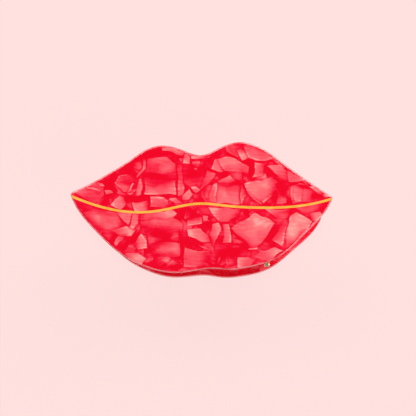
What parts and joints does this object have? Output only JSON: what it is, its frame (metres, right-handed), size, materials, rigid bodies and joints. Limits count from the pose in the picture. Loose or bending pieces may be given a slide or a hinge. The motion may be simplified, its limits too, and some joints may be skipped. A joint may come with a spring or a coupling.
{
  "type": "hair claw",
  "caption": "Sprung hair claw: two bevelled lips-shaped acetate plates bonded to a hinged metal claw with interleaved curved teeth.",
  "frame": {"origin": "on the rear plate's outer face, straight below the middle of the hinge line", "axes": "+X along the lips and the hinge, +Y from the lower lip with the teeth to the upper lip that fingers press, +Z from the rear plate to the front plate"},
  "size_m": [0.0897, 0.047, 0.0401],
  "materials": {
    "pearl_acetate": "tumble-polished cellulose acetate with pearl flakes in red",
    "gold_line": "gold lacquer filled flush into a groove",
    "epoxy": "clear cured adhesive, slightly yellow",
    "gold_plate": "gold-plated stamped metal, polished",
    "gold_pin": "gold-plated turned rivet",
    "spring_wire": "drawn spring wire"
  },
  "bodies": {
    "rear": {"rear_plate": "pearl_acetate", "rear_mouth_line": "gold_line", "rear_bond": "epoxy", "rear_jaw": "gold_plate", "hinge_pin": "gold_pin", "torsion_spring": "spring_wire"},
    "front": {"front_plate": "pearl_acetate", "front_mouth_line": "gold_line", "front_bond": "epoxy", "front_jaw": "gold_plate"}
  },
  "joints": [
    {"name": "jaw_hinge", "type": "hinge", "parent": "rear", "child": "front", "pos_m": [0, 0, 0.0187], "axis": [-1, 0, 0], "range_deg": [0, 65], "stiffness_Nm_per_rad": 0.05, "springref_deg": -40.11, "deforming": ["torsion_spring"]}
  ]
}
